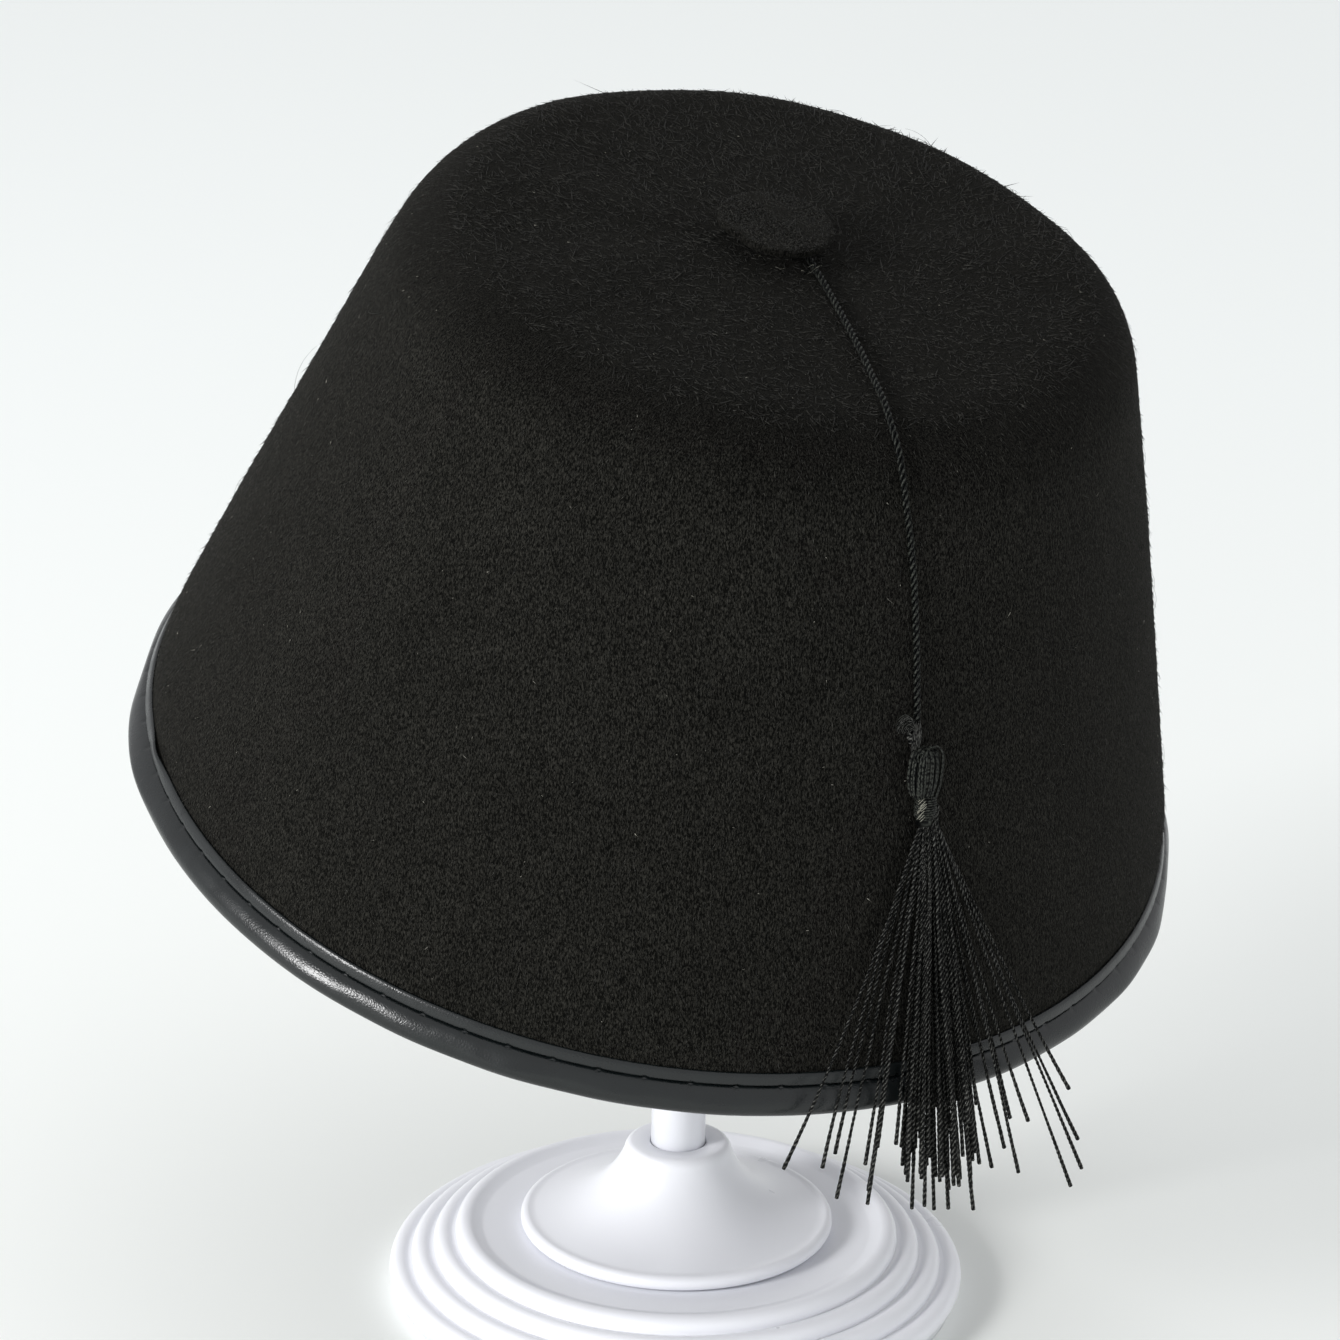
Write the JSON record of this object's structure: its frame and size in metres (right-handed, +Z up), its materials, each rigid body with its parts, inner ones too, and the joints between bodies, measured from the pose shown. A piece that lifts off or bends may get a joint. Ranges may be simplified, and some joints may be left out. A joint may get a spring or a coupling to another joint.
{
  "type": "fez hat on display stand",
  "caption": "Black felt fez with a bound rim, felt button and thread tassel, leaning on a plain white round display stand with a domed head.",
  "frame": {"origin": "middle of the flat underside of the stand's base", "axes": "+Z up along the stand's post, -Y towards the front, +X to the right; the hat leans forwards and to the right"},
  "size_m": [0.191, 0.1865, 0.223],
  "materials": {
    "felt": "brushed wool felt, matte",
    "binding": "smooth black leather, satin",
    "thread": "twisted thread, slight sheen",
    "stand": "moulded, soft gloss"
  },
  "bodies": {
    "root": {"crown_felt": "felt", "top_button": "felt", "rim_binding": "binding", "tassel_cord": "thread", "tassel_knot": "thread", "tassel": "thread", "tassel_wrap": "thread", "stand_base": "stand", "stand_foot": "stand", "stand_post": "stand", "stand_head": "stand"}
  },
  "joints": []
}
